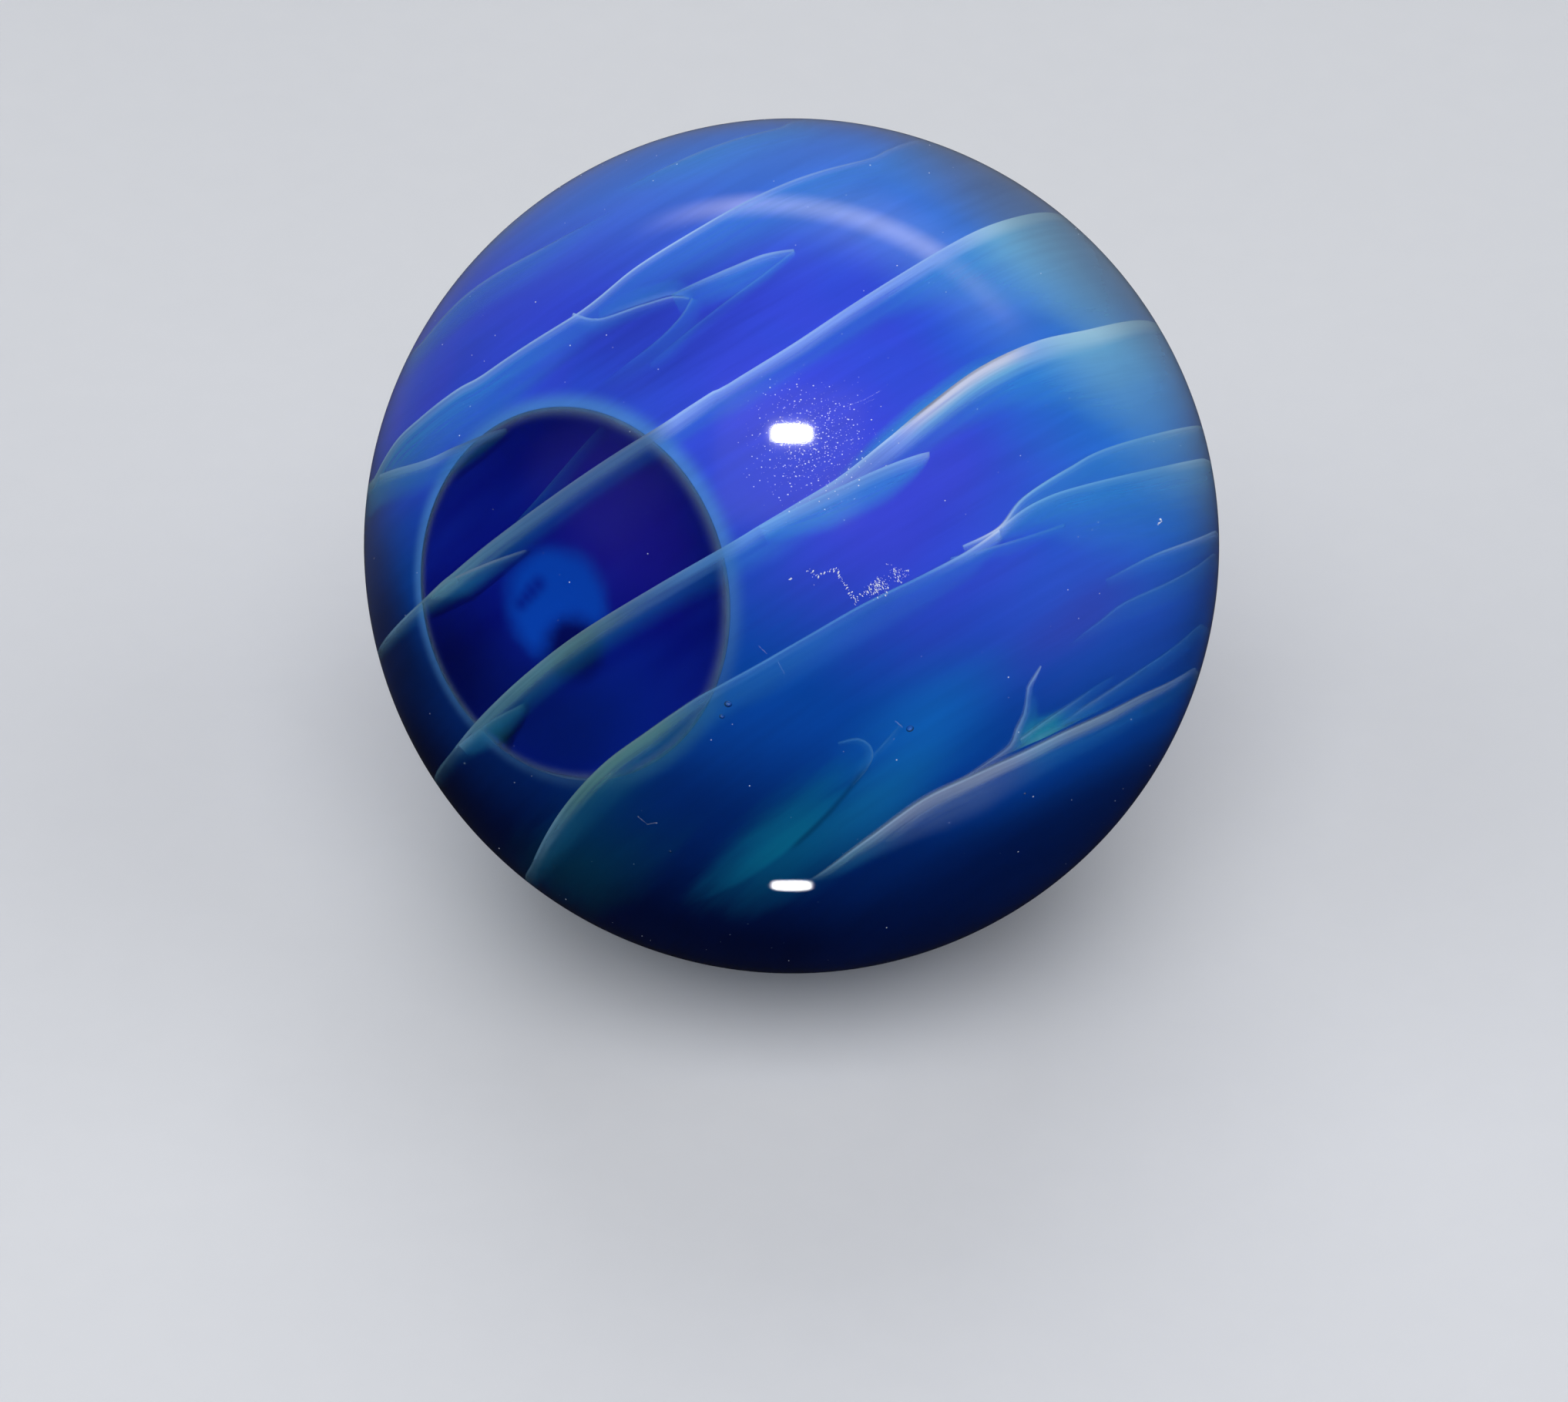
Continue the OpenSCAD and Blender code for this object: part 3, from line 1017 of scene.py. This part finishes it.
def stored(graph, geometry, name, value):
    """The geometry with a number kept under a name at each point."""
    settings = {"data_type": "FLOAT", "domain": "POINT"}
    inputs = {"Geometry": geometry, "Name": name, "Value": value}
    return graph.node("GeometryNodeStoreNamedAttribute", settings, inputs).outputs[0]


def named(graph, name):
    """Number that is kept under a name."""
    return graph.value("GeometryNodeInputNamedAttribute", {"data_type": "FLOAT"}, {"Name": name})


def placed(graph, geometry, vector, socket="Position"):
    """The geometry with its points set to a place, or moved by an offset."""
    inputs = {"Geometry": geometry, socket: vector}
    return graph.node("GeometryNodeSetPosition", None, inputs).outputs[0]


def unit_place(graph):
    """Direction of each point from the ball's centre."""
    place = graph.node("GeometryNodeInputPosition").outputs[0]
    return graph.node("ShaderNodeVectorMath", {"operation": "NORMALIZE"}, {0: place}).outputs[0]


def veil_sweep(material):
    """Tree that sweeps a thin wedge along each path, from a sharp edge on the path to a sunk fade."""
    tree, graph, given = new_tree("veil_sweep", {
        "Body Radius": NUMBER, "Edge Lift": NUMBER, "Root Depth": NUMBER,
        "Tail Hover": NUMBER, "Steps": COUNT,
    })
    ring = graph.node("GeometryNodeCurvePrimitiveCircle", None, {"Resolution": given["Steps"]}).outputs[0]
    turn = graph.value("GeometryNodeSplineParameter")
    share = 1 - abs(turn * 2 - 1)
    ring = stored(graph, ring, "across", share * share)
    ring = stored(graph, ring, "under", turn.math("GREATER_THAN", turn, 0.5))
    ring = placed(graph, ring, graph.joined(0.0, named(graph, "across"), 0.0))

    path = graph.node("GeometryNodeMeshToCurve", None, {"Mesh": given["Geometry"]}).outputs[0]
    length = graph.value("GeometryNodeSplineParameter", None, None, "Length")
    path = stored(graph, path, "along", length / MM)
    inputs = {"Curve": path, "Normal": unit_place(graph)}
    path = graph.node("GeometryNodeSetCurveNormal", {"mode": "FREE"}, inputs).outputs[0]
    inputs = {"Curve": path, "Profile Curve": ring, "Scale": named(graph, "width"), "Fill Caps": True}
    swept = graph.node("GeometryNodeCurveToMesh", None, inputs).outputs[0]

    across = named(graph, "across")
    under = named(graph, "under")
    lift = given["Edge Lift"] * named(graph, "tail").smaller(1.0) * (1 - across) ** 1.5
    hover = given["Tail Hover"] * (1 - 2 * across ** 12.0)
    radius = given["Body Radius"] + (lift + hover) * (1 - under) - given["Root Depth"] * under
    swept = placed(graph, swept, graph.scaled(unit_place(graph), radius))
    swept = stored(graph, swept, "reach", across * named(graph, "width") / MM)
    finish_tree(graph, swept, material)
    return tree


def pale_veils(material):
    """All the veils as one mesh, shaded like the ball that they lie on."""
    paths = [front_rows(*veil) for veil in FRONT_VEILS.values()]
    paths += [back_rows(*veil) for veil in BACK_VEILS.values()]
    veils = grown("veil_curtains", veil_paths(paths), veil_sweep(material), {
        "Body Radius": BODY_RADIUS, "Edge Lift": EDGE_LIFT, "Root Depth": ROOT_DEPTH,
        "Tail Hover": TAIL_HOVER, "Steps": VEIL_STEPS,
    })
    normals = [vertex.co.normalized() for vertex in veils.data.vertices]
    veils.data.normals_split_custom_set_from_vertices(normals)
    return veils


# Beads of dust and of scuffed glass: their width and height as shares of their length, and their seeds
BEAD_WIDTH_SHARE = 0.8
BEAD_HEIGHT_SHARE = 0.4
DUST_BEAD_SEED = 3
SCUFF_BEAD_SEED = 7


def beads_on(graph, given, points, rotation, seed, material):
    """Small flat beads of random size on points, as the end of a tree."""
    bead = graph.node("GeometryNodeMeshIcoSphere", None, {"Radius": 1.0, "Subdivisions": 1}).outputs[0]
    chance = graph.value("FunctionNodeRandomValue", {"data_type": "FLOAT"}, {"Seed": seed}, 1)
    size = given["Smallest"] + (given["Largest"] - given["Smallest"]) * chance ** 3.0
    scale = graph.joined(size, size * BEAD_WIDTH_SHARE, size * BEAD_HEIGHT_SHARE)
    inputs = {"Points": points, "Instance": bead, "Rotation": rotation, "Scale": scale}
    finish_tree(graph, graph.node("GeometryNodeInstanceOnPoints", None, inputs).outputs[0], material)


def dust_scatter(material):
    """Tree that scatters dust over a surface, thickest about one point."""
    tree, graph, given = new_tree("dust_scatter", {
        "Centre": POINT, "Spread": NUMBER, "Thick": NUMBER, "Thin": NUMBER,
        "Smallest": NUMBER, "Largest": NUMBER, "Seed": COUNT,
    })
    place = graph.node("GeometryNodeInputPosition").outputs[0]
    away = graph.distance(place, given["Centre"]) / given["Spread"]
    density = given["Thick"] * (1 - away).larger(0.0) ** 2.0 + given["Thin"]
    settings = {"distribute_method": "RANDOM"}
    inputs = {"Mesh": given["Geometry"], "Density": density, "Seed": given["Seed"]}
    spots = graph.node("GeometryNodeDistributePointsOnFaces", settings, inputs).outputs
    beads_on(graph, given, spots["Points"], spots["Rotation"], DUST_BEAD_SEED, material)
    return tree


# Dust: the pixel where it is thickest, and its spread, specks to a square metre, radii and seed
DUST_PIXEL = (1052, 570)
DUST = {
    "Spread": 2.2 * MM, "Thick": 3.2e8, "Thin": 3e5,
    "Smallest": 0.005 * MM, "Largest": 0.024 * MM, "Seed": 4,
}


def surface_dust(ball, material):
    """Dust on the glass, thickest round the place where the lamp shines back."""
    carrier = new_object("dust_carrier", ball.data.copy())
    sizes = {"Centre": surface_point(DUST_PIXEL), **DUST}
    return grown("surface_dust", carrier, dust_scatter(material), sizes)


def scuff_trail(material):
    """Tree that strings beads of scuffed glass along paths, with some scatter to each side."""
    tree, graph, given = new_tree("scuff_trail", {
        "Step": NUMBER, "Scatter": NUMBER, "Ball Radius": NUMBER,
        "Smallest": NUMBER, "Largest": NUMBER, "Seed": COUNT,
    })
    path = graph.node("GeometryNodeMeshToCurve", None, {"Mesh": given["Geometry"]}).outputs[0]
    inputs = {"Curve": path, "Length": given["Step"]}
    spots = graph.node("GeometryNodeCurveToPoints", {"mode": "LENGTH"}, inputs).outputs
    inputs = {0: (-1.0, -1.0, -1.0), 1: (1.0, 1.0, 1.0), "Seed": given["Seed"]}
    drift = graph.node("FunctionNodeRandomValue", {"data_type": "FLOAT_VECTOR"}, inputs).outputs[0]
    moved = placed(graph, spots["Points"], graph.scaled(drift, given["Scatter"]), "Offset")
    seated = placed(graph, moved, graph.scaled(unit_place(graph), given["Ball Radius"]))
    beads_on(graph, given, seated, spots["Rotation"], SCUFF_BEAD_SEED, material)
    return tree


# Scuffs and scratches on the surface: the step between the beads of a path, their scatter, their smallest
# and largest radius, and the paths through pixels
SURFACE_MARKS = {
    "scuff_marks": (0.032 * MM, 0.05 * MM, 0.016 * MM, 0.055 * MM, [
        [(1049, 740), (1058, 749), (1084, 739), (1097, 760), (1112, 782)],
        [(1110, 785), (1113, 776), (1121, 770), (1130, 765)],
        [(1025, 752), (1028, 754)],
        [(1152, 735), (1155, 733)],
        [(1503, 679), (1508, 675)],
    ]),
    "scuffed_spots": (0.004 * MM, 0.17 * MM, 0.01 * MM, 0.04 * MM, [
        [(1130, 766), (1147, 757)],
        [(1134, 769), (1146, 762)],
        [(1161, 750), (1173, 744)],
    ]),
    "hairline_scratches": (0.03 * MM, 0.008 * MM, 0.006 * MM, 0.015 * MM, [
        [(1100, 527), (1122, 519), (1143, 507)],
        [(1125, 522), (1135, 518)],
        [(985, 839), (995, 848)],
        [(1010, 860), (1018, 874)],
        [(1162, 936), (1171, 944)],
        [(828, 1060), (840, 1070), (852, 1068)],
    ]),
}
SCUFF_SEED = 5


def surface_marks(name, material):
    """One kind of marks on the glass."""
    step, scatter, smallest, largest, paths = SURFACE_MARKS[name]
    chains = [[surface_point(pixel) for pixel in path] for path in paths]
    return grown(name, edge_chains(name + "_paths", chains), scuff_trail(material), {
        "Step": step, "Scatter": scatter, "Ball Radius": BALL_RADIUS,
        "Smallest": smallest, "Largest": largest, "Seed": SCUFF_SEED,
    })


# Bubbles in the clear glass, as pixel x, pixel y and radius, their depth and their drawn-out form
BUBBLES = [
    (945, 914, 0.1 * MM), (937, 930, 0.07 * MM), (1181, 946, 0.1 * MM), (1330, 1030, 0.04 * MM),
    (870, 1105, 0.05 * MM),
]
BUBBLE_COVER = 0.25 * MM
BUBBLE_SHARES = (1.0, 0.85, 0.7)
BUBBLE_DIVISIONS = 3


def air_bubbles(material):
    """Small drawn-out air bubbles just under the surface."""
    shape = bmesh.new()
    for x, y, radius in BUBBLES:
        seat = inner_point((x, y), BALL_RADIUS - BUBBLE_COVER)
        turn = seat.to_track_quat("Z", "Y").to_matrix().to_4x4()
        place = Matrix.Translation(seat) @ turn @ Matrix.Diagonal((*BUBBLE_SHARES, 1.0))
        bmesh.ops.create_icosphere(shape, subdivisions=BUBBLE_DIVISIONS, radius=radius, matrix=place)
    piece = mesh_from("air_bubbles", shape)
    piece.data.materials.append(material)
    return piece


FLOOR_SIZE = 3.0
FLOOR_CELLS = 8


def pale_floor():
    """Wide board that the ball touches, hidden from mirror reflections."""
    shape = bmesh.new()
    bmesh.ops.create_grid(shape, x_segments=FLOOR_CELLS, y_segments=FLOOR_CELLS, size=FLOOR_SIZE / 2)
    bmesh.ops.translate(shape, verts=shape.verts, vec=(0, 0, -BALL_RADIUS))
    floor = mesh_from("pale_floor", shape)
    floor.data.materials.append(floor_finish())
    floor.visible_glossy = False


# Soft lamps as name, lift over the floor and turn from the front to the right in degrees, and power
SOFT_LAMPS = [
    ("soft_key", 60, -2, 1.5),
    ("soft_right", 40, 75, 0.5),
    ("soft_back", 50, 180, 0.55),
    ("soft_left", 40, -70, 0.45),
]
SOFT_DISTANCE = 0.45
SOFT_SIZE = 0.3
# Small lamps that only reflections see, as name, lift, distance, size and power. The second stands below
# the floor, where a mirror in the floor would show the first.
SMALL_LAMPS = [
    ("high_shine", 65, 0.25, (0.05, 0.024), 0.32),
    ("low_shine", -65, 0.27, (0.0345, 0.021), 0.12),
]
OUTLINE_POWER = 4.0
# Colours of the dim studio that the glass mirrors: low down, higher up, and one paler wall behind the ball
WALLS_LOW = (0.005, 0.005, 0.006, 1.0)
WALLS_HIGH = (0.024, 0.025, 0.027, 1.0)
WALL_BEHIND = (0.16, 0.17, 0.18, 1.0)


def area_lamp(name, lift, turn, distance, size, power):
    """Rectangular lamp that faces the ball. Lift and turn, from the front to the right, are in degrees."""
    light = bpy.data.lights.new(name, "AREA")
    light.shape = "RECTANGLE"
    light.size, light.size_y = size
    light.energy = power
    lamp = bpy.data.objects.new(name, light)
    level = math.radians(lift)
    side = math.radians(turn)
    flat = math.cos(level)
    direction = Vector((math.sin(side) * flat, -math.cos(side) * flat, math.sin(level)))
    lamp.location = direction * distance
    lamp.rotation_euler = direction.to_track_quat("Z", "Y").to_euler()
    bpy.context.scene.collection.objects.link(lamp)
    return lamp


def soft_outline(light):
    """Rounds and blurs the outline of a lamp, so that its reflection has soft edges."""
    light.use_nodes = True
    light.node_tree.nodes.clear()
    graph = Graph(light.node_tree)
    face = graph.node("ShaderNodeNewGeometry").outputs["Parametric"]
    across, upward, _ = graph.node("ShaderNodeSeparateXYZ", None, {0: face}).outputs
    sideways = abs(2 * Value(graph, across) - 1)
    endways = abs(2 * Value(graph, upward) - 1)
    away = sideways ** OUTLINE_POWER + endways ** OUTLINE_POWER
    glow = graph.node("ShaderNodeEmission", None, {"Strength": 1 - graph.smooth(away, 0.0, 1.0)})
    graph.node("ShaderNodeOutputLight", None, {"Surface": glow.outputs[0]})


def studio_walls():
    """World that the glass mirrors: dark below, lighter above, with one paler wall behind the ball."""
    world = bpy.data.worlds.new("studio_walls")
    world.use_nodes = True
    world.node_tree.nodes.clear()
    graph = Graph(world.node_tree)
    heading = graph.node("ShaderNodeTexCoord").outputs["Generated"]
    height = graph.dot(heading, (0, 0, 1))
    level = graph.smooth(height, -0.7, -0.3) * (1 - graph.smooth(height, 0.3, 0.7))
    wall = graph.smooth(graph.dot(heading, (0, 1, 0)), 0.35, 0.9) * level
    colour = graph.mix(graph.smooth(height, -0.9, 0.05), WALLS_LOW, WALLS_HIGH)
    backdrop = graph.node("ShaderNodeBackground", None, {"Color": graph.mix(wall, colour, WALL_BEHIND)})
    graph.node("ShaderNodeOutputWorld", None, {"Surface": backdrop.outputs[0]})
    bpy.context.scene.world = world


def studio():
    """Large soft lamps that leave no reflection, and two small bright lamps for the highlights."""
    for name, lift, turn, power in SOFT_LAMPS:
        lamp = area_lamp(name, lift, turn, SOFT_DISTANCE, (SOFT_SIZE, SOFT_SIZE), power)
        lamp.visible_glossy = False
    for name, lift, distance, size, power in SMALL_LAMPS:
        lamp = area_lamp(name, lift, 0, distance, size, power)
        lamp.visible_diffuse = False
        lamp.visible_transmission = False
        soft_outline(lamp.data)
    studio_walls()


def camera():
    """Camera on the line of sight of the photograph."""
    lens = bpy.data.cameras.new("photo_camera")
    lens.sensor_fit = "HORIZONTAL"
    lens.sensor_width = SENSOR_WIDTH
    lens.lens = focal_pixels * SENSOR_WIDTH / PHOTO_WIDTH
    lens.shift_x = (PHOTO_WIDTH / 2 - BALL_PIXEL[0]) / PHOTO_WIDTH
    lens.shift_y = (BALL_PIXEL[1] - PHOTO_HEIGHT / 2) / PHOTO_WIDTH
    lens.clip_start = CLIP_START
    taker = bpy.data.objects.new("photo_camera", lens)
    taker.location = camera_place
    taker.rotation_euler = to_camera.to_track_quat("Z", "Y").to_euler()
    bpy.context.scene.collection.objects.link(taker)
    bpy.context.scene.camera = taker


camera()
studio()
pale_floor()

speck_material = speck_grey()
ball = glass_ball()
ball.data.materials.append(clear_glass())
body = blue_body()
body.data.materials.append(blue_glass())
window = window_lens(window_face(), window_depth())
veils = pale_veils(veil_glass())
dust = surface_dust(ball, speck_material)
marks = [surface_marks(name, speck_material) for name in SURFACE_MARKS]
bubbles = air_bubbles(bubble_air())

pieces = {ball: "clear_glass", body: "blue_glass", window: "dark_glass", veils: "pale_veil_glass"}
for piece in [dust, *marks, bubbles]:
    pieces[piece] = "clear_glass"
for piece, slot in pieces.items():
    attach(piece, "root")
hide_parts("clear_casing")
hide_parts("blue_body")
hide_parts("dark_window")
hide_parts("pale_veils")

bpy.context.scene.view_settings.view_transform = "Standard"
